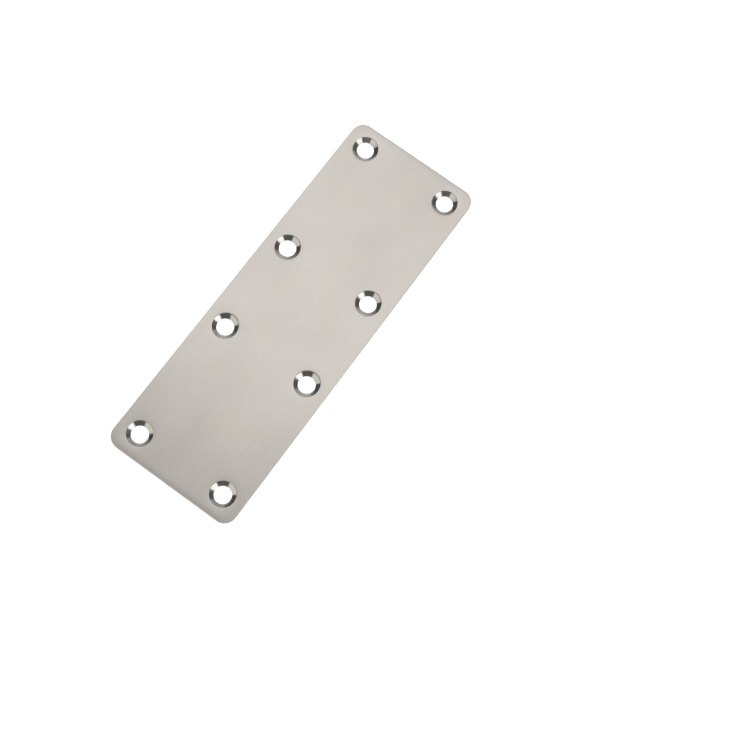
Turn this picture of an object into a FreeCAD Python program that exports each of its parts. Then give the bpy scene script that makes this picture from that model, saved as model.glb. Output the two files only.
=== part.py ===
import FreeCAD, Part
import math
import os

# Flat mending plate: one blank of 1.5 mm stainless sheet with two rows of four
# countersunk screw holes. Millimetres. The origin is the middle of the underside,
# +Y runs along the plate, +X across it and +Z up through its thickness, so the
# countersinks open upwards.

# --- outline of the blank ---------------------------------------------------
LENGTH = 126.0              # along Y
WIDTH = 44.0                # across X
THICKNESS = 1.5             # sheet thickness
CORNER_RADIUS = 4.0         # the four rounded corners

# --- screw holes ------------------------------------------------------------
ROW_SPACING = 30.0          # between the two rows, across the plate
END_HOLE_SPACING = 112.0    # from the end hole to the other end hole of a row
MID_HOLE_SPACING = 31.0     # between the two holes nearest the middle of a row
HOLE_DIAMETER = 5.3         # the straight land under the countersink
RIM_DIAMETER = 7.8          # the countersink where it meets the face
COUNTERSINK_ANGLE = 105.0   # full angle of the shallow cone

# --- broken edges -----------------------------------------------------------
ROLL_OVER = 0.20            # soft edge that shearing leaves round the face
RIM_BREAK = 0.06            # countersink rim, taken off by the brushing
BACK_BREAK = 0.10           # underside, round the outline
BACK_MOUTH_BREAK = 0.08     # underside, round each hole

EPS = 1e-6


def rounded_blank(length, width, radius, thickness):
    """The sheared blank: a rectangle with four equal round corners."""
    hx, hy, r = width / 2.0, length / 2.0, radius
    k = r * (1.0 - 2.0 ** -0.5)
    v = FreeCAD.Vector
    corners = [
        (v(hx, hy - r, 0), v(hx - k, hy - k, 0), v(hx - r, hy, 0)),
        (v(-hx + r, hy, 0), v(-hx + k, hy - k, 0), v(-hx, hy - r, 0)),
        (v(-hx, -hy + r, 0), v(-hx + k, -hy + k, 0), v(-hx + r, -hy, 0)),
        (v(hx - r, -hy, 0), v(hx - k, -hy + k, 0), v(hx, -hy + r, 0)),
    ]
    edges = []
    for i, (start, middle, end) in enumerate(corners):
        edges.append(Part.Arc(start, middle, end).toShape())
        edges.append(Part.LineSegment(end, corners[(i + 1) % 4][0]).toShape())
    return Part.Face(Part.Wire(edges)).extrude(v(0, 0, thickness))


def hole_cutter(x, y):
    """What the punch and the countersink take out at one hole."""
    land = HOLE_DIAMETER / 2.0
    rim = RIM_DIAMETER / 2.0
    depth = (rim - land) / math.tan(math.radians(COUNTERSINK_ANGLE / 2.0))
    over = 1.0
    rise = over * math.tan(math.radians(COUNTERSINK_ANGLE / 2.0))
    points = [
        FreeCAD.Vector(0, 0, -over),
        FreeCAD.Vector(land, 0, -over),
        FreeCAD.Vector(land, 0, THICKNESS - depth),
        FreeCAD.Vector(rim + rise, 0, THICKNESS + over),
        FreeCAD.Vector(0, 0, THICKNESS + over),
    ]
    profile = Part.Face(Part.makePolygon(points + [points[0]]))
    solid = profile.revolve(FreeCAD.Vector(0, 0, 0), FreeCAD.Vector(0, 0, 1), 360)
    solid.translate(FreeCAD.Vector(x, y, 0))
    return solid


def edges_at(shape, z, of_holes):
    """The edges in the plane z: either the hole circles or the outline."""
    found = []
    for edge in shape.Edges:
        box = edge.BoundBox
        if abs(box.ZMin - z) > EPS or abs(box.ZMax - z) > EPS:
            continue
        full_circle = (
            isinstance(edge.Curve, Part.Circle)
            and edge.isClosed()
            and edge.Curve.Radius < CORNER_RADIUS
        )
        if full_circle == of_holes:
            found.append(edge)
    return found


hole_centres = [
    (sx * ROW_SPACING / 2.0, sy * spacing / 2.0)
    for sx in (-1, 1)
    for spacing in (END_HOLE_SPACING, MID_HOLE_SPACING)
    for sy in (-1, 1)
]

plate = rounded_blank(LENGTH, WIDTH, CORNER_RADIUS, THICKNESS)
for cx, cy in hole_centres:
    plate = plate.cut(hole_cutter(cx, cy))

plate = plate.makeFillet(ROLL_OVER, edges_at(plate, THICKNESS, False))
plate = plate.makeFillet(RIM_BREAK, edges_at(plate, THICKNESS, True))
plate = plate.makeFillet(BACK_BREAK, edges_at(plate, 0.0, False))
plate = plate.makeFillet(BACK_MOUTH_BREAK, edges_at(plate, 0.0, True))

if plate.ShapeType != "Solid":
    plate = plate.Solids[0]
assert plate.isValid() and plate.isClosed()

box = plate.optimalBoundingBox(False, False)
print(
    "plate %.2f x %.2f x %.2f mm, %.1f mm3, %d faces"
    % (box.XLength, box.YLength, box.ZLength, plate.Volume, len(plate.Faces))
)

os.makedirs("parts", exist_ok=True)
plate.exportStep("parts/mending_plate.step")
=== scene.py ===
import math

import bpy
import numpy as np
from mathutils import Matrix, Vector
from mathutils.geometry import delaunay_2d_cdt


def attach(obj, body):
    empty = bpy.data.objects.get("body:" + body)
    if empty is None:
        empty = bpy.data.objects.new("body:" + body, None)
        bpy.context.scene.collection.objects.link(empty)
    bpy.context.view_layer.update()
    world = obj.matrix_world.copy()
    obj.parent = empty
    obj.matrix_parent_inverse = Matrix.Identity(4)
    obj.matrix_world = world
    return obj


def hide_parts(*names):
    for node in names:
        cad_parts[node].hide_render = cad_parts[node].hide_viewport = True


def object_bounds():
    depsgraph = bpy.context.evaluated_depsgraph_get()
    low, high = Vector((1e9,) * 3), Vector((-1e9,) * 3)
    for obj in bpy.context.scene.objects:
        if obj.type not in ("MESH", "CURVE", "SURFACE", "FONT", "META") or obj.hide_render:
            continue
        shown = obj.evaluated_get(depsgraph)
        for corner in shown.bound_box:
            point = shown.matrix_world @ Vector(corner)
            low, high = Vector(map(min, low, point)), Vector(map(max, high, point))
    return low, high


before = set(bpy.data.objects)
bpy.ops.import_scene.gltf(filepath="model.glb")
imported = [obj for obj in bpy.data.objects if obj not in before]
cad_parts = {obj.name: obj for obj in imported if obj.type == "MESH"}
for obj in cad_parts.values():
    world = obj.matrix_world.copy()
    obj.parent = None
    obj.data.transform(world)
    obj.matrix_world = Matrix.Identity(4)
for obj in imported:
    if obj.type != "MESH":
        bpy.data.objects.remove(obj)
cad_lo, cad_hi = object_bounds()

# ---------------------------------------------------------------------------
# The plate, in millimetres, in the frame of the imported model: origin in the
# middle of the underside, +Y along the plate, +X across it, +Z up.
# ---------------------------------------------------------------------------
MM = 0.001
HX = float(cad_hi.x) / MM            # half the width
HY = float(cad_hi.y) / MM            # half the length
THK = float(cad_hi.z) / MM           # sheet thickness
CORNER = 4.0                         # corner radius of the blank
LAND_R = 2.65                        # straight wall of a hole
RIM_R = 3.97                         # countersink at the face, where its rounded rim begins
HALF = math.radians(52.5)            # half the angle of the shallow countersink
HOLES = [(sx * 15.0, sy * hy) for sx in (-1, 1) for hy in (56.0, 15.5) for sy in (-1, 1)]

ROLL_W = 2.10                        # how far in from the edge the face starts to roll over
ROLL_H = 0.027                       # how far it has dropped where the edge radius starts
ROLL_P = 2.3
EDGE_R = 0.09                        # the edge radius itself
DISH_W = 2.40                        # ring round each rim that the countersinking pulled down
LIP_W = 0.38                         # the innermost part of it, which turns down towards the cone
LIP_A = 12.0                         # by this many degrees, less at the end where the tool was sharper
SEG = 96                             # segments round a hole

FACE, WALL, CONE_M, LAND_M, BACK = range(5)     # material slots of the mesh

rng = np.random.default_rng(20417)
DISH_D = {h: d * (0.7 if h[1] < -50 else 1.0) for h, d in zip(HOLES, rng.uniform(0.028, 0.036, len(HOLES)))}


class Mesh:
    """Vertices and faces, with a material and a UV for each face corner."""

    def __init__(self):
        self.co, self.faces, self.mats, self.uvs = [], [], [], []

    def ring(self, points):
        start = len(self.co)
        self.co.extend(map(tuple, points))
        return np.arange(start, start + len(points))

    def face(self, corners, mat, uv):
        self.faces.append([int(c) for c in corners])
        self.mats.append(mat)
        self.uvs.append(uv)

    def bridge(self, a, b, mat, ua, ub, v):
        """A band between two closed rings. Seen from its outside, b lies to the right of a going round."""
        n = len(a)
        for i in range(n):
            j = (i + 1) % n
            self.face(
                (a[i], a[j], b[j], b[i]), mat,
                ((ua, v[i]), (ua, v[i + 1]), (ub, v[i + 1]), (ub, v[i])),
            )

    def flat(self, a, b, mat):
        """A band between two closed rings that takes its UV from the plan."""
        n = len(a)
        for i in range(n):
            j = (i + 1) % n
            c = (a[i], a[j], b[j], b[i])
            self.face(c, mat, [self.co[k][:2] for k in c])


# --- the outline -----------------------------------------------------------
def outline():
    """The corner centres' side of every outline point: (centre x, centre y, normal x, normal y, arc length), anticlockwise from +X."""
    cx, cy = HX - CORNER, HY - CORNER
    n_long, n_short, n_corner = 160, 50, 22
    rows = []
    for t in np.linspace(-cy, cy, n_long, endpoint=False):
        rows.append((cx, t, 1.0, 0.0))
    for k in range(n_corner):
        a = math.radians(90.0 * k / n_corner)
        rows.append((cx, cy, math.cos(a), math.sin(a)))
    for t in np.linspace(cx, -cx, n_short, endpoint=False):
        rows.append((t, cy, 0.0, 1.0))
    for k in range(n_corner):
        a = math.radians(90.0 + 90.0 * k / n_corner)
        rows.append((-cx, cy, math.cos(a), math.sin(a)))
    for t in np.linspace(cy, -cy, n_long, endpoint=False):
        rows.append((-cx, t, -1.0, 0.0))
    for k in range(n_corner):
        a = math.radians(180.0 + 90.0 * k / n_corner)
        rows.append((-cx, -cy, math.cos(a), math.sin(a)))
    for t in np.linspace(-cx, cx, n_short, endpoint=False):
        rows.append((t, -cy, 0.0, -1.0))
    for k in range(n_corner):
        a = math.radians(270.0 + 90.0 * k / n_corner)
        rows.append((cx, -cy, math.cos(a), math.sin(a)))
    r = np.array(rows)
    p = r[:, :2] + CORNER * r[:, 2:]
    step = np.linalg.norm(np.roll(p, -1, 0) - p, axis=1)
    s = np.concatenate([[0.0], np.cumsum(step)])
    return r, s


OUT, ARC = outline()
ROUND = ARC[-1]


def edge_ring(inset, z):
    """Points of the outline moved in by inset, which may differ from point to point, as may z."""
    inset = np.broadcast_to(inset, len(OUT))
    z = np.broadcast_to(z, len(OUT))
    p = OUT[:, :2] + (CORNER - inset)[:, None] * OUT[:, 2:]
    return np.c_[p, z]


def wander(seed, terms, longest, shortest):
    """A smooth closed wander along the outline, from -1 to 1."""
    g = np.random.default_rng(seed)
    s = ARC[:-1] / ROUND * 2 * math.pi
    total = np.zeros(len(s))
    for _ in range(terms):
        k = round(ROUND / math.exp(g.uniform(math.log(shortest), math.log(longest))))
        total += g.uniform(0.4, 1.0) * np.sin(k * s + g.uniform(0, 2 * math.pi))
    return total / np.abs(total).max()


def dip(centre):
    """The face round one hole, from where it is flat in to the rim: radii, heights, and its slope at the rim."""
    deep = DISH_D[centre]
    lip = LIP_A * (0.0 if centre[1] < -50 else 1.0)
    slope_at = lambda rho: math.atan(2.4 * deep / DISH_W * max(0.0, 1 - (rho - RIM_R) / DISH_W) ** 1.4) + math.radians(
        lip
    ) * max(0.0, (RIM_R + LIP_W - rho) / LIP_W) ** 1.4
    radii = [RIM_R + LIP_W + (DISH_W - LIP_W) * (1 - k / 8.0) ** 1.4 for k in range(9)]
    radii += [RIM_R + LIP_W * (1 - k / 7.0) for k in range(1, 8)]
    heights = [THK]
    for a, b in zip(radii, radii[1:]):
        heights.append(heights[-1] - (a - b) * math.tan(0.5 * (slope_at(a) + slope_at(b))))
    return radii, heights, slope_at(RIM_R)


DIPS = {h: dip(h) for h in HOLES}
DISH_R = max(r for r in DIPS[HOLES[0]][0] if r < 4.70)     # outermost ring of a hole, short of the roll-over


def sink(x, y):
    """How far the countersinking of the holes has pulled the face down at these points."""
    total = np.zeros(len(x))
    for (hx, hy), (radii, heights, _) in DIPS.items():
        total += np.interp(np.hypot(x - hx, y - hy), radii[::-1], [THK - h for h in heights[::-1]], right=0.0)
    return total


M = Mesh()

# --- face, roll-over, sheared wall and underside, round the outline ---------
ends = 1.0 + 0.35 * OUT[:, 3] ** 2                # the short ends rolled over a little more
face_rows = []
for d in (2.10, 2.00, 1.85, 1.65, 1.42, 1.18, 0.95, 0.74, 0.56, 0.41, 0.29, 0.20, 0.13):
    face_rows.append((d, THK - ROLL_H * ((1 - d / ROLL_W) / (1 - EDGE_R / ROLL_W)) ** ROLL_P))
top_of_radius = THK - ROLL_H
slope = ROLL_P * ROLL_H / (ROLL_W * (1 - EDGE_R / ROLL_W))
first = math.atan(slope)
radius = EDGE_R / (1 - math.sin(first))          # an arc that meets the rolled face and the wall smoothly
for k in range(8):
    a = first + (math.pi / 2 - first) * k / 7.0
    face_rows.append((radius * (1 - math.sin(a)), top_of_radius - radius * (math.cos(first) - math.cos(a))))
wall_top = face_rows[-1][1]

loops, along, length = [], [], 0.0
for i, (d, z) in enumerate(face_rows):
    drop = ROLL_H * (max(0.0, 1 - d / ROLL_W) / (1 - EDGE_R / ROLL_W)) ** ROLL_P
    row = edge_ring(d, z - (ends - 1.0) * min(drop, ROLL_H))
    row[:, 2] -= sink(row[:, 0], row[:, 1])
    loops.append(M.ring(row))
    if i:
        length += math.hypot(d - face_rows[i - 1][0], z - face_rows[i - 1][1])
    along.append(length)
face_loop = loops[0]

# the sheared wall: a burnished upper band, then a torn band that leans in a little
line = 0.80 + 0.07 * wander(5, 26, 40.0, 1.6)     # where the burnish ends
rough_a = wander(7, 60, 6.0, 0.9)
rough_b = wander(8, 60, 5.0, 0.9)
foot = 0.045                                       # how far in the wall is at its foot
wall = [(0.0, wall_top - 0.12), (0.0, wall_top - 0.26)]
for d, z in wall:
    loops.append(M.ring(edge_ring(d, z - (ends - 1.0) * ROLL_H)))
    along.append(along[-1] + 0.14)
for lift, step_in in ((0.05, 0.0), (0.0, 0.004), (-0.04, 0.013)):
    loops.append(M.ring(edge_ring(np.clip(step_in + 0.002 * rough_a, 0.0, None), line + lift)))
    along.append(along[-1] + 0.06)
for t, ra, rb in ((0.12, 1.0, 0.3), (0.3, 0.5, 0.8), (0.5, -0.4, 1.0), (0.7, -1.0, 0.4), (0.86, -0.4, -0.8)):
    z = (line - 0.04) * (1 - t) + 0.12 * t
    inset = 0.016 + (foot - 0.016) * t + 0.006 * (ra * rough_a + rb * rough_b)
    loops.append(M.ring(edge_ring(np.clip(inset, 0.0, None), z)))
    along.append(along[-1] + 0.12)
for k in range(5):
    a = math.pi / 2 * k / 4.0
    loops.append(M.ring(edge_ring(foot + 0.10 * (1 - math.cos(a)), 0.10 * (1 - math.sin(a)))))
    along.append(along[-1] + 0.04)
loops.append(M.ring(edge_ring(0.45, 0.0)))
along.append(along[-1] + 0.3)

n_face = len(face_rows)
for i in range(len(loops) - 1):
    if i < n_face - 2:
        M.flat(loops[i + 1], loops[i], FACE)
    elif i >= len(loops) - 3:
        M.flat(loops[i + 1], loops[i], BACK)
    else:
        M.bridge(loops[i + 1], loops[i], WALL, along[i + 1], along[i], ARC)
back_loop = loops[-1]


# --- the holes --------------------------------------------------------------
def hole(centre, index):
    """One countersunk hole, as rings from the face down to the underside. Returns the outermost ring on the face and on the underside."""
    hx, hy = centre
    g = np.random.default_rng(900 + index)
    ang = np.arange(SEG) / SEG * 2 * math.pi
    radii, heights, lean = DIPS[centre]
    rows = [                                      # (radius, height, material of the band above)
        (rho, z, FACE if rho > RIM_R + 0.13 else CONE_M) for rho, z in zip(radii, heights) if rho <= DISH_R
    ]
    z = heights[-1]
    # the rounded rim, as an arc from the lip onto the cone
    arc_r = 0.15
    ax, az = RIM_R + arc_r * math.sin(lean), z - arc_r * math.cos(lean)
    for k in range(1, 7):
        a = lean + (math.pi / 2 - HALF - lean) * k / 6.0
        rows.append((ax - arc_r * math.sin(a), az + arc_r * math.cos(a), CONE_M))
    # the cone, with the shallow rings that the countersink cutter left
    r0, z0 = rows[-1][:2]
    out, up = math.sin(HALF), math.cos(HALF)
    slant = (r0 - LAND_R) / out
    n = 26
    p1, p2, p3 = g.uniform(0, 2 * math.pi, 3)
    for k in range(1, n + 1):
        s = slant * k / n
        fade = min(1.0, s / 0.12, (slant - s) / 0.12)
        h = fade * (
            0.0012 * math.sin(2 * math.pi * s / 0.47 + p1)
            + 0.0005 * math.sin(2 * math.pi * s / 0.27 + p2)
        )
        rho = r0 - s * out - h * up
        z = z0 - s * up + h * out
        rows.append((rho, z, CONE_M))
    z1 = rows[-1][1]
    for z in (z1 - 0.02, 0.5 * (z1 + 0.08), 0.08):
        rows.append((LAND_R, z, LAND_M))
    for k in range(1, 5):
        a = math.pi / 2 * k / 4.0
        rows.append((LAND_R + 0.08 * (1 - math.cos(a)), 0.08 * (1 - math.sin(a)), LAND_M))
    for rho in (3.1, 3.8, 4.8):
        rows.append((rho, 0.0, BACK))
    rings = [M.ring(np.c_[hx + r * np.cos(ang), hy + r * np.sin(ang), np.full(SEG, z)]) for r, z, _ in rows]
    v = np.arange(SEG + 1) / SEG * 20.0
    u = RIM_R + DISH_W - DISH_R + np.concatenate([[0.0], np.cumsum([math.hypot(rows[i + 1][0] - rows[i][0], rows[i + 1][1] - rows[i][1]) for i in range(len(rows) - 1)])])
    for i in range(len(rings) - 1):
        mat = rows[i + 1][2]
        if mat in (FACE, BACK):
            M.flat(rings[i], rings[i + 1], mat)
        else:
            M.bridge(rings[i], rings[i + 1], mat, u[i], u[i + 1], v)
    return rings[0], rings[-1]


hole_rings = [hole(c, i) for i, c in enumerate(HOLES)]


# --- the two flats between the rings ------------------------------------------
def fill(loop, inset, holes, hole_radius, rings, mat, upwards, z, pitch):
    """Triangles between an outline ring and the rings round the holes, with more rings of points round the holes and a loose grid between."""
    ids = [int(i) for i in loop]
    edges = [(k, (k + 1) % len(ids)) for k in range(len(ids))]
    for ring in holes:
        base = len(ids)
        ids += [int(i) for i in ring]
        edges += [(base + k, base + (k + 1) % len(ring)) for k in range(len(ring))]
    pts = [Vector(M.co[i][:2]) for i in ids]
    within = lambda x, y: math.hypot(max(0.0, abs(x) - (HX - CORNER)), max(0.0, abs(y) - (HY - CORNER))) < CORNER - inset
    for a, b in HOLES:
        for k, r in enumerate(rings):
            for j in range(SEG // 2):
                t = (j + 0.5 * (k % 2)) / (SEG // 2) * 2 * math.pi
                x, y = a + r * math.cos(t), b + r * math.sin(t)
                if within(abs(x) + 0.14, abs(y) + 0.14):
                    pts.append(Vector((x, y)))
    g = np.random.default_rng(31)
    gx, gy = HX - inset - 1.0, HY - inset - 1.0
    nx, ny = int(2 * gx / pitch), int(2 * gy / pitch)
    for i in range(nx + 1):
        for j in range(ny + 1):
            x = -gx + 2 * gx * i / nx + g.uniform(-0.2, 0.2)
            y = -gy + 2 * gy * j / ny + g.uniform(-0.2, 0.2)
            if not within(abs(x) + 0.5, abs(y) + 0.5):
                continue
            if min(math.hypot(x - a, y - b) for a, b in HOLES) > max([hole_radius, *rings]) + 0.6:
                pts.append(Vector((x, y)))
    co, _, tris, orig, _, _ = delaunay_2d_cdt(pts, edges, [], 0, 1e-7)
    index = []
    for k, o in enumerate(orig):
        known = [q for q in o if q < len(ids)]
        index.append(ids[known[0]] if known else int(M.ring([(co[k].x, co[k].y, z - (float(sink(np.array([co[k].x]), np.array([co[k].y]))[0]) if upwards else 0.0))])[0]))
    for t in tris:
        c = sum((co[k] for k in t), Vector((0, 0))) / 3
        if min(math.hypot(c.x - a, c.y - b) for a, b in HOLES) < hole_radius * math.cos(math.pi / SEG) - 1e-4:
            continue
        corners = [index[k] for k in t]
        if len(set(corners)) < 3:
            continue
        a, b, d = (M.co[k] for k in corners)
        area = (b[0] - a[0]) * (d[1] - a[1]) - (b[1] - a[1]) * (d[0] - a[0])
        if abs(area) < 1e-9:
            continue
        if (area > 0) != upwards:
            corners.reverse()
        M.face(corners, mat, [M.co[k][:2] for k in corners])


fill(face_loop, face_rows[0][0], [r[0] for r in hole_rings], DISH_R, [r for r in DIPS[HOLES[0]][0] if r > DISH_R], FACE, True, THK, 4.0)
fill(back_loop, 0.45, [r[1] for r in hole_rings], 4.8, [], BACK, False, 0.0, 6.0)


def build(name):
    me = bpy.data.meshes.new(name)
    co = np.array(M.co) * MM
    me.from_pydata(co.tolist(), [], M.faces)
    me.polygons.foreach_set("material_index", M.mats)
    uv = me.uv_layers.new(name="Grain")
    flat = np.array([c for f in M.uvs for c in f], float) * 0.005
    uv.data.foreach_set("uv", flat.ravel())
    me.polygons.foreach_set("use_smooth", [True] * len(me.polygons))
    me.update()
    me.set_sharp_from_angle(angle=math.radians(31))
    me.validate()
    ob = bpy.data.objects.new(name, me)
    bpy.context.scene.collection.objects.link(ob)
    return ob


plate = build("plate_body")
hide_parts("mending_plate")
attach(plate, "root")


# ---------------------------------------------------------------------------
# Materials
# ---------------------------------------------------------------------------
class Nodes:
    """Short words for building a node tree."""

    def __init__(self, tree):
        self.t = tree
        self.n = tree.nodes
        self.x = 0

    def add(self, kind, **props):
        node = self.n.new(kind)
        self.x += 170
        node.location = (self.x % 2400, -(self.x // 2400) * 320)
        for k, v in props.items():
            setattr(node, k, v)
        return node

    def put(self, socket, value):
        if hasattr(value, "is_linked"):
            self.t.links.new(value, socket)
        else:
            socket.default_value = value

    def math(self, op, a, b=None, c=None, clamp=False):
        node = self.add("ShaderNodeMath", operation=op, use_clamp=clamp)
        for s, v in zip(node.inputs, (a, b, c)):
            if v is not None:
                self.put(s, v)
        return node.outputs[0]

    def ramp(self, value, a, b, lo=0.0, hi=1.0, smooth=True):
        node = self.add("ShaderNodeMapRange", interpolation_type="SMOOTHSTEP" if smooth else "LINEAR", clamp=True)
        self.put(node.inputs["Value"], value)
        for k, v in (("From Min", a), ("From Max", b), ("To Min", lo), ("To Max", hi)):
            node.inputs[k].default_value = v
        return node.outputs["Result"]

    def band(self, value, lo, hi, soft):
        up = self.ramp(value, lo - soft / 2, lo + soft / 2)
        down = self.ramp(value, hi - soft / 2, hi + soft / 2, 1.0, 0.0)
        return self.math("MULTIPLY", up, down)

    def mix(self, fac, a, b):
        node = self.add("ShaderNodeMix", data_type="RGBA")
        self.put(node.inputs[0], fac)
        self.put(node.inputs[6], a)
        self.put(node.inputs[7], b)
        return node.outputs[2]

    def noise(self, vector, scale, detail=2.0, rough=0.5, offset=(0, 0, 0)):
        m = self.add("ShaderNodeMapping")
        self.put(m.inputs["Vector"], vector)
        m.inputs["Scale"].default_value = scale
        m.inputs["Location"].default_value = offset
        node = self.add("ShaderNodeTexNoise")
        self.put(node.inputs["Vector"], m.outputs[0])
        node.inputs["Scale"].default_value = 1.0
        node.inputs["Detail"].default_value = detail
        node.inputs["Roughness"].default_value = rough
        return node.outputs["Fac"]

    def weigh(self, *pairs):
        total = None
        for value, weight in pairs:
            part = self.math("MULTIPLY", value, weight)
            total = part if total is None else self.math("ADD", total, part)
        return total


def material(name):
    m = bpy.data.materials.new(name)
    m.use_nodes = True
    m.node_tree.nodes.clear()
    w = Nodes(m.node_tree)
    out = w.add("ShaderNodeOutputMaterial")
    p = w.add("ShaderNodeBsdfPrincipled")
    m.node_tree.links.new(p.outputs[0], out.inputs[0])
    p.inputs["Metallic"].default_value = 1.0
    return m, w, p


def tangent(w, p):
    t = w.add("ShaderNodeTangent", direction_type="UV_MAP", uv_map="Grain")
    w.put(p.inputs["Tangent"], t.outputs[0])


STEEL_LO = (0.636, 0.600, 0.561, 1)
STEEL_HI = (0.695, 0.658, 0.619, 1)


def brushed(name, rough, contrast, bump, seed):
    """Satin stainless: fine straight grain along Y, broken into dashes, over faint broad clouds."""
    m, w, p = material(name)
    at = w.add("ShaderNodeTexCoord").outputs["Object"]
    fine = w.noise(at, (6500, 170, 900), 3.0, 0.62, (seed, 0, 0))
    dash = w.noise(at, (2000, 900, 500), 2.0, 0.6, (0, seed, 3))
    wide = w.noise(at, (900, 60, 160), 2.0, 0.5, (7, seed, 0))
    cloud = w.noise(at, (64, 46, 20), 1.5, 0.5, (1, 5, seed))
    tint = w.noise(at, (120, 90, 20), 1.5, 0.5, (seed, 8, 2))
    grain = w.weigh((fine, 0.36), (dash, 0.46), (wide, 0.18))
    shade = w.math("MULTIPLY_ADD", grain, contrast, 0.5 - 0.5 * contrast)
    base = w.mix(shade, STEEL_LO, STEEL_HI)
    blush = w.noise(at, (80, 60, 20), 1.5, 0.5, (3, seed, 14))
    warm = w.mix(w.ramp(tint, 0.40, 0.66, 0.0, 0.80), base, w.mix(0.5, base, (0.676, 0.636, 0.540, 1)))
    warm = w.mix(w.ramp(blush, 0.36, 0.64, 0.0, 0.80), warm, w.mix(0.5, base, (0.694, 0.622, 0.588, 1)))
    bright = w.math("MULTIPLY_ADD", cloud, 0.22, 0.89)
    scaled = w.add("ShaderNodeVectorMath", operation="SCALE")
    w.put(scaled.inputs[0], warm)
    w.put(scaled.inputs["Scale"], bright)
    w.put(p.inputs["Base Color"], scaled.outputs[0])
    w.put(p.inputs["Roughness"], w.ramp(w.weigh((grain, 0.8), (cloud, 0.2)), 0.3, 0.7, rough - 0.03, rough + 0.03, smooth=False))
    p.inputs["Anisotropic"].default_value = 0.95
    b = w.add("ShaderNodeBump")
    b.inputs["Strength"].default_value = bump
    b.inputs["Distance"].default_value = 0.00001
    w.put(b.inputs["Height"], w.weigh((fine, 0.5), (dash, 0.5)))
    w.put(p.inputs["Normal"], b.outputs[0])
    tangent(w, p)
    return m


def sheared():
    """The cut edge: fine upright drag lines on the burnished band, a grainy torn band under it."""
    m, w, p = material("sheared_edge")
    tc = w.add("ShaderNodeTexCoord")
    at = tc.outputs["Object"]
    sep = w.add("ShaderNodeSeparateXYZ")
    w.put(sep.inputs[0], at)
    z = sep.outputs["Z"]
    drag = w.noise(at, (3600, 3600, 160), 3.0, 0.6)
    torn = w.noise(at, (5200, 5200, 3800), 4.0, 0.65, (3, 1, 2))
    patch = w.noise(at, (500, 500, 420), 3.0, 0.55, (5, 5, 5))
    height = w.math("ADD", z, w.math("MULTIPLY", w.math("SUBTRACT", patch, 0.5), 0.00022))
    lower = w.ramp(height, 0.00090, 0.00074)
    shine = w.mix(drag, (0.42, 0.396, 0.372, 1), (0.58, 0.549, 0.518, 1))
    dull = w.mix(torn, (0.24, 0.228, 0.216, 1), (0.45, 0.427, 0.404, 1))
    w.put(p.inputs["Base Color"], w.mix(lower, shine, dull))
    rough = w.math("ADD", w.math("MULTIPLY", lower, 0.20), w.ramp(w.weigh((drag, 0.5), (torn, 0.5)), 0.3, 0.7, 0.24, 0.36, smooth=False))
    w.put(p.inputs["Roughness"], rough)
    p.inputs["Anisotropic"].default_value = 0.3
    b = w.add("ShaderNodeBump")
    b.inputs["Strength"].default_value = 0.7
    b.inputs["Distance"].default_value = 0.00003
    w.put(b.inputs["Height"], w.math("ADD", w.math("MULTIPLY", torn, lower), w.math("MULTIPLY", drag, 0.35)))
    w.put(p.inputs["Normal"], b.outputs[0])
    tangent(w, p)
    return m


def turned():
    """The countersinks: bright cut metal with the cutter's fine rings round each hole."""
    m, w, p = material("turned_countersink")
    tc = w.add("ShaderNodeTexCoord")
    uv = w.add("ShaderNodeUVMap", uv_map="Grain")
    rings = w.noise(uv.outputs[0], (2600, 9, 1), 2.0, 0.6)
    smear = w.noise(tc.outputs["Object"], (900, 900, 900), 2.0, 0.5, (2, 9, 4))
    w.put(p.inputs["Base Color"], w.mix(w.weigh((rings, 0.7), (smear, 0.3)), (0.500, 0.485, 0.466, 1), (0.624, 0.605, 0.584, 1)))
    w.put(p.inputs["Roughness"], w.ramp(smear, 0.3, 0.7, 0.07, 0.12, smooth=False))
    p.inputs["Anisotropic"].default_value = 0.45
    b = w.add("ShaderNodeBump")
    b.inputs["Strength"].default_value = 0.25
    b.inputs["Distance"].default_value = 0.000004
    w.put(b.inputs["Height"], rings)
    w.put(p.inputs["Normal"], b.outputs[0])
    tangent(w, p)
    return m


def punched():
    """The short straight wall of a hole and its mouth on the underside."""
    m, w, p = material("punched_land")
    at = w.add("ShaderNodeTexCoord").outputs["Object"]
    drag = w.noise(at, (4200, 4200, 300), 3.0, 0.6, (4, 2, 0))
    w.put(p.inputs["Base Color"], w.mix(drag, (0.46, 0.43, 0.40, 1), (0.64, 0.60, 0.56, 1)))
    w.put(p.inputs["Roughness"], w.ramp(drag, 0.3, 0.7, 0.24, 0.38, smooth=False))
    b = w.add("ShaderNodeBump")
    b.inputs["Strength"].default_value = 0.5
    b.inputs["Distance"].default_value = 0.00001
    w.put(b.inputs["Height"], drag)
    w.put(p.inputs["Normal"], b.outputs[0])
    return m


face_m = brushed("brushed_face", 0.312, 4.6, 0.35, 0.0)
back_m = brushed("brushed_back", 0.38, 5.5, 0.5, 11.0)
for mat in (face_m, sheared(), turned(), punched(), back_m):
    plate.data.materials.append(mat)


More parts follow.
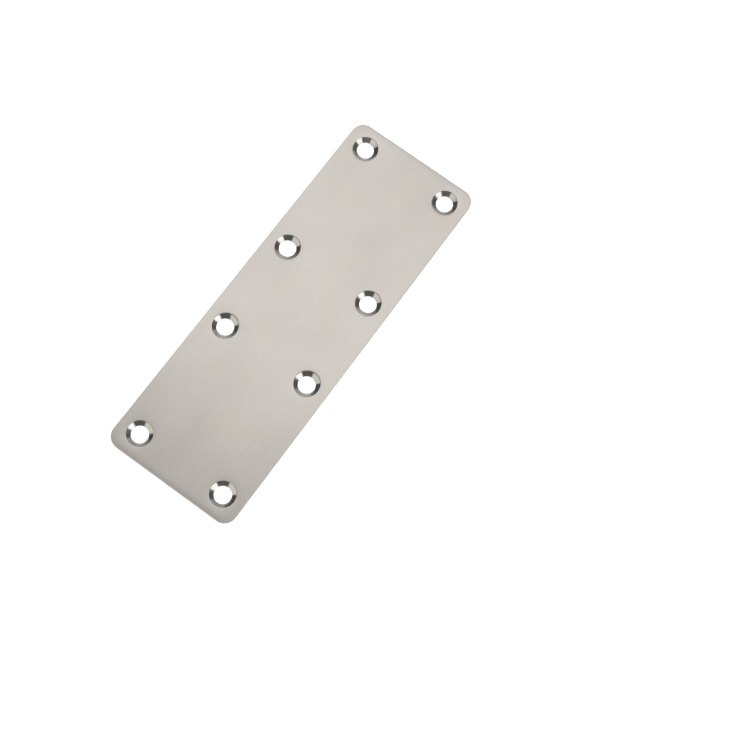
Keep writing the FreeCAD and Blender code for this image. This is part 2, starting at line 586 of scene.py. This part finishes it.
# ---------------------------------------------------------------------------
# Stage: a pale floor, soft light, and the surroundings that the steel reflects; the floor as the steel mirrors it
# carries painted shade
# ---------------------------------------------------------------------------
def floor():
    n, r = 64, 12.0
    me = bpy.data.meshes.new("floor")
    me.from_pydata([(r * math.cos(2 * math.pi * k / n), r * math.sin(2 * math.pi * k / n), 0.0) for k in range(n)], [], [list(range(n))])
    ob = bpy.data.objects.new("floor", me)
    bpy.context.scene.collection.objects.link(ob)
    ob.location.z = -0.00001
    m = bpy.data.materials.new("floor")
    m.use_nodes = True
    m.node_tree.nodes.clear()
    w = Nodes(m.node_tree)
    out = w.add("ShaderNodeOutputMaterial")
    # painted shade: rays the steel reflects see the floor as darker grey, 0.44 round the plate and 0.52 under its
    # footprint, while the camera sees it pale
    path = w.add("ShaderNodeLightPath")
    pale = w.add("ShaderNodeBsdfDiffuse")
    pale.inputs["Color"].default_value = (0.90, 0.90, 0.90, 1)
    sep = w.add("ShaderNodeSeparateXYZ")
    w.put(sep.inputs[0], w.add("ShaderNodeTexCoord").outputs["Object"])
    inside = w.math(
        "MULTIPLY",
        w.ramp(w.math("ABSOLUTE", sep.outputs["X"]), 0.0215, 0.0205),
        w.band(sep.outputs["Y"], -0.0660, 0.0620, 0.001),
    )
    painted_shade_floor = w.add("ShaderNodeBsdfDiffuse")
    w.put(painted_shade_floor.inputs["Color"], w.mix(inside, (0.44, 0.44, 0.44, 1), (0.52, 0.52, 0.52, 1)))
    both = w.add("ShaderNodeMixShader")
    w.put(both.inputs[0], path.outputs["Is Glossy Ray"])
    w.put(both.inputs[1], pale.outputs[0])
    w.put(both.inputs[2], painted_shade_floor.outputs[0])
    w.put(out.inputs[0], both.outputs[0])
    me.materials.append(m)
    return ob


floor()


def sun(name, strength, angle, azimuth, tilt):
    """A soft light for the floor. It comes from azimuth (anticlockwise from +X), tilted down from overhead."""
    data = bpy.data.lights.new(name, "SUN")
    data.energy = strength
    data.angle = math.radians(angle)
    ob = bpy.data.objects.new(name, data)
    bpy.context.scene.collection.objects.link(ob)
    a, t = math.radians(azimuth), math.radians(tilt)
    d = Vector((math.sin(t) * math.cos(a), math.sin(t) * math.sin(a), math.cos(t)))
    ob.rotation_euler = d.to_track_quat("Z", "Y").to_euler()
    ob.visible_glossy = False
    return ob


sun("soft_overhead", 5.20, 150, 60, 8)
sun("soft_key", 1.90, 50, 50, 38)


def surroundings():
    """What the steel mirrors: a large soft box above and behind, a bright panel low at the right, a warm one low in front, and darker room between them. The camera itself sees plain white."""
    world = bpy.data.worlds.new("studio")
    bpy.context.scene.world = world
    world.use_nodes = True
    world.node_tree.nodes.clear()
    w = Nodes(world.node_tree)
    deg = 180 / math.pi
    d = w.add("ShaderNodeTexCoord").outputs["Generated"]
    sep = w.add("ShaderNodeSeparateXYZ")
    w.put(sep.inputs[0], d)
    x, y, z = sep.outputs
    az = w.math("MULTIPLY", w.math("ARCTAN2", y, x), deg)
    el = w.math("MULTIPLY", w.math("ARCSINE", z), deg)
    tilt = w.math("MULTIPLY", w.math("ARCTAN2", y, z), deg)

    lean_x = w.math("MULTIPLY", w.math("ARCTAN2", x, z), deg)

    # the softbox overhead ends just in front of the zenith and at the right, and fades out towards the back
    sky = w.mix(w.ramp(tilt, -16, -28), (1.25, 1.25, 1.25, 1), (0.55, 0.545, 0.54, 1))
    sky = w.mix(w.ramp(tilt, 25, 34), sky, (0.46, 0.445, 0.42, 1))
    sky = w.mix(w.math("MULTIPLY", w.band(tilt, -30, 42, 10), w.band(lean_x, -58, -33, 10)), sky, (0.62, 0.615, 0.61, 1))
    sky = w.mix(w.ramp(tilt, 41, 54), sky, (1.06, 1.06, 1.06, 1))
    sky = w.mix(w.ramp(tilt, 64, 76), sky, (0.66, 0.655, 0.65, 1))
    sky = w.mix(w.math("MULTIPLY", w.band(tilt, -30, 48, 10), w.band(lean_x, 14, 52, 10)), sky, (0.42, 0.415, 0.41, 1))
    deep = w.math("MAXIMUM", w.ramp(lean_x, 6, 18), w.ramp(tilt, -4, -10))
    dark = w.mix(deep, w.mix(w.ramp(tilt, -3.5, 8, smooth=False), (0.42, 0.42, 0.42, 1), (0.80, 0.80, 0.80, 1)), (0.07, 0.067, 0.065, 1))
    gap = w.math("MULTIPLY", w.band(tilt, -24, 8.6, 5), w.band(lean_x, -60, 36, 16))
    sky = w.mix(gap, sky, dark)
    sky = w.mix(w.math("MULTIPLY", w.band(tilt, -16, -6, 4), w.band(lean_x, 3, 13, 4)), sky, (0.95, 0.94, 0.93, 1))

    # near the horizon, by azimuth: white panel at +X, dark screen, warm panel at the front
    low = w.mix(w.band(az, -22.5, 19.3, 14), (0.14, 0.136, 0.133, 1), (1.72, 1.72, 1.72, 1))
    warm = w.mix(w.math("MULTIPLY", w.band(az, -172, -136, 12), w.ramp(el, 18, 26)), (1.00, 0.98, 0.90, 1), (0.80, 0.78, 0.73, 1))
    low = w.mix(w.band(az, -155.5, -93.8, 12), low, warm)
    low = w.mix(w.band(az, 74, 138, 12), low, (0.45, 0.45, 0.45, 1))
    low = w.mix(w.math("MAXIMUM", w.ramp(az, 134, 150), w.ramp(az, -153, -163)), low, (0.095, 0.093, 0.091, 1))
    low = w.mix(w.math("MULTIPLY", w.ramp(el, 22, 15), w.band(az, -90, -16, 12)), low, (1.10, 1.09, 1.08, 1))
    front = w.math("MULTIPLY", w.ramp(el, 50, 37), w.band(az, -158, 30, 12))
    side = w.math("MULTIPLY", w.ramp(el, 32, 24), w.band(az, 26, 74, 12))
    back = w.math("MAXIMUM", w.math("MULTIPLY", w.ramp(el, 22, 15), w.ramp(az, 68, 76)), w.math("MULTIPLY", w.ramp(el, 32, 24), w.ramp(az, -150, -158)))
    both = w.mix(w.math("MAXIMUM", front, w.math("MAXIMUM", side, back)), sky, low)

    path = w.add("ShaderNodeLightPath")
    seen = w.mix(path.outputs["Is Camera Ray"], both, (1, 1, 1, 1))
    bg = w.add("ShaderNodeBackground")
    w.put(bg.inputs["Color"], seen)
    out = w.add("ShaderNodeOutputWorld")
    w.put(out.inputs[0], bg.outputs[0])
    world.cycles_visibility.diffuse = False
    return world


surroundings()

# ---------------------------------------------------------------------------
# Camera: fitted to the outline and the hole rims of the pictured plate
# ---------------------------------------------------------------------------
ROT = (
    (0.8125376772006646, 0.5803560909793488, 0.0544915662512898),
    (0.5725823872815218, -0.7771304162171794, -0.2611852330533013),
    (-0.1092333873151533, 0.2434237536751163, -0.9637494193214199),
)
right, down, ahead = (Vector(r) for r in ROT)
cam_data = bpy.data.cameras.new("camera")
cam_data.sensor_width = 36.0
cam_data.lens = 1257.9735961329154 / 750.0 * 36.0
cam_data.clip_start, cam_data.clip_end = 0.01, 100.0
cam = bpy.data.objects.new("camera", cam_data)
bpy.context.scene.collection.objects.link(cam)
turn = Matrix((right, -down, -ahead)).transposed().to_4x4()
cam.matrix_world = Matrix.Translation(Vector((0.0701195, -0.0917685, 0.3591934))) @ turn
bpy.context.scene.camera = cam

view = bpy.context.scene.view_settings
view.view_transform = "Standard"
view.look = "None"
view.exposure = 0.0
view.gamma = 1.0

bpy.context.view_layer.update()
